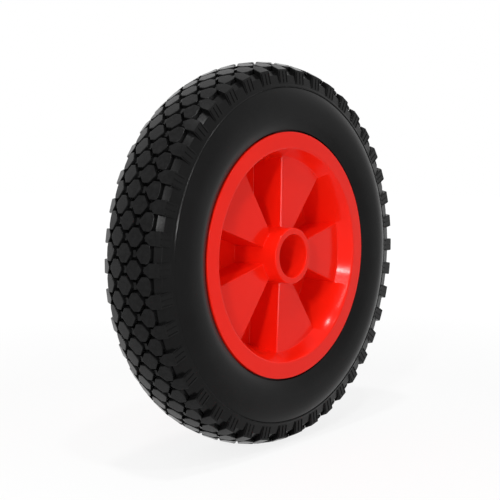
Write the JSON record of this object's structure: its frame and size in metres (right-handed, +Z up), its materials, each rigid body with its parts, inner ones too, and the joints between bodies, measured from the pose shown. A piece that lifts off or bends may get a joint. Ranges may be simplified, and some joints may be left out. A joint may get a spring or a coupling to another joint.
{
  "type": "wheel",
  "caption": "Puncture-free plastic wheel: a one-piece rim with a castellated web and plain hub bore, and a block-tread tyre.",
  "frame": {"origin": "centre of the wheel, on the hub's axis, midway between the sidewalls", "axes": "+Y along the axle, from the visible face (-Y) to the back; +Z up; +X to the right for someone who faces the visible face"},
  "size_m": [0.3568, 0.076, 0.356],
  "materials": {
    "rim_plastic": "glossy moulded plastic",
    "tyre_rubber": "satin foam rubber"
  },
  "bodies": {
    "root": {"rim": "rim_plastic", "tyre": "tyre_rubber"}
  },
  "joints": []
}
